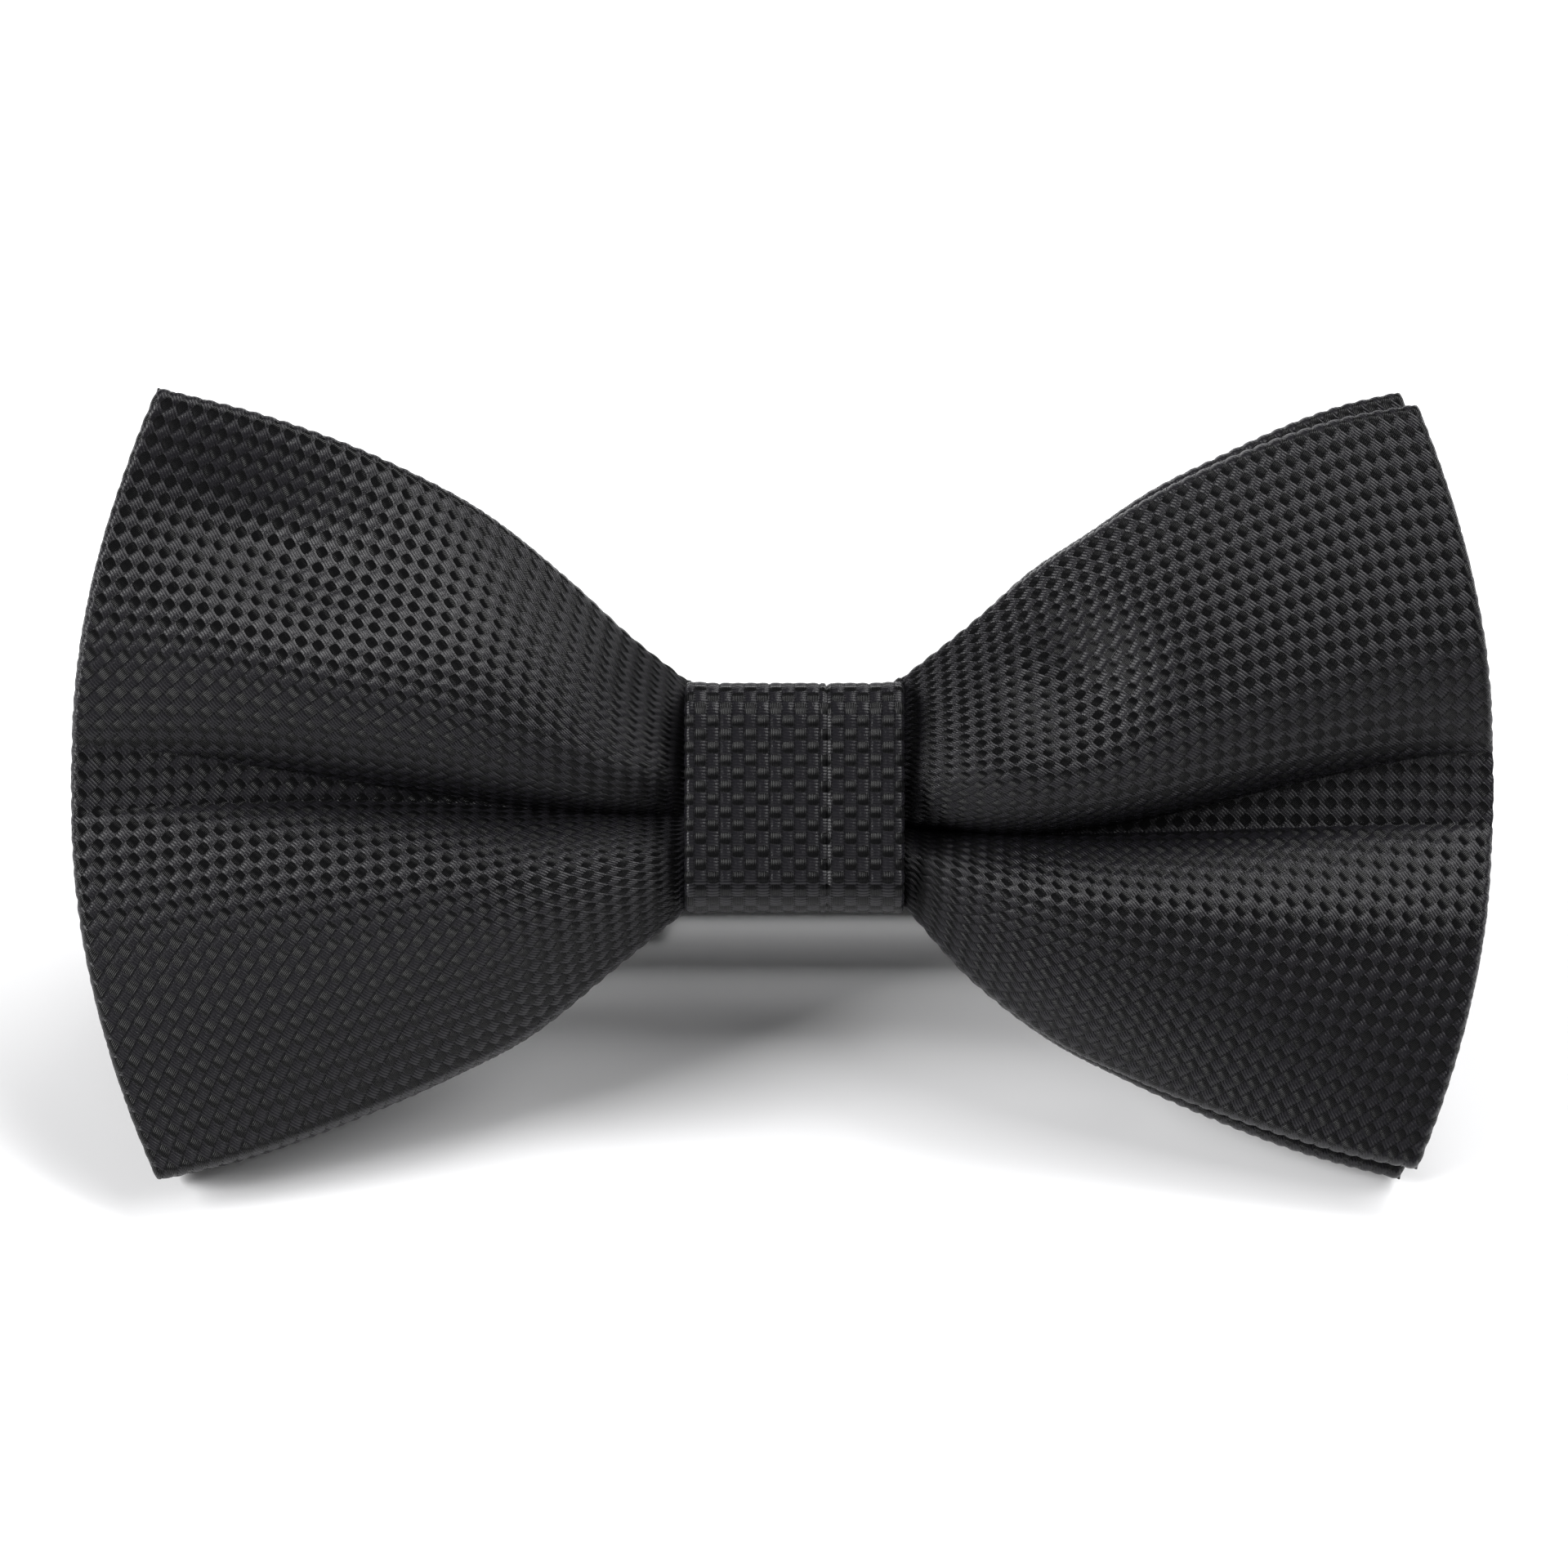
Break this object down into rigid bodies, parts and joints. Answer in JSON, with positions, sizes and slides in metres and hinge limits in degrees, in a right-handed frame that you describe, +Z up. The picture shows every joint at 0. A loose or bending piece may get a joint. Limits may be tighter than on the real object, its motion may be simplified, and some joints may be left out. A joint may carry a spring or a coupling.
{
  "type": "bow tie",
  "caption": "Pre-tied bow tie: two stacked bows of stiffened woven cloth pinched by a knot, on an adjustable neck band with hook, eye and slide.",
  "frame": {"origin": "on the surface the bow tie leans on, under the middle of its box", "axes": "+X across the bow to its right as seen from the front, +Y to the back, +Z up; the bow's face leans back by 43.5 degrees"},
  "size_m": [0.12, 0.0504, 0.0523],
  "materials": {
    "shell_cloth": "black basket-weave silk-look polyester with a soft sheen",
    "interlining": "stiff unbleached woven interlining, matt",
    "binding_tape": "black cotton twill tape, matt",
    "band_satin": "black satin ribbon, low sheen",
    "thread": "black polyester sewing thread",
    "black_metal": "black lacquered die-cast metal, satin"
  },
  "bodies": {
    "bow": {"front_bow_shell": "shell_cloth", "front_bow_interlining": "interlining", "rear_bow_shell": "shell_cloth", "rear_bow_interlining": "interlining", "waist_binding": "binding_tape", "knot_band": "shell_cloth", "knot_interlining": "interlining", "knot_seam_thread": "thread", "neck_band": "band_satin", "neck_band_return": "band_satin", "hook_end_stitching": "thread"},
    "hook": {"band_hook": "black_metal"},
    "eye": {"band_eye": "black_metal"},
    "slide": {"band_slide": "black_metal", "neck_band_tail": "band_satin", "tail_stitching": "thread"}
  },
  "joints": [
    {"name": "hook_swing", "type": "hinge", "parent": "bow", "child": "hook", "pos_m": [0.039, 0.01118, 0.01387], "axis": [0, 0.6882, 0.7255], "range_deg": [-55, 80]},
    {"name": "eye_swing", "type": "hinge", "parent": "bow", "child": "eye", "pos_m": [0.021, 0.01855, 0.00688], "axis": [0, 0.6882, 0.7255], "range_deg": [-50, 0]},
    {"name": "slide_travel", "type": "slide", "parent": "bow", "child": "slide", "axis": [1, 0, 0], "range_m": [0, 0.016], "deforming": ["neck_band_return"]}
  ]
}
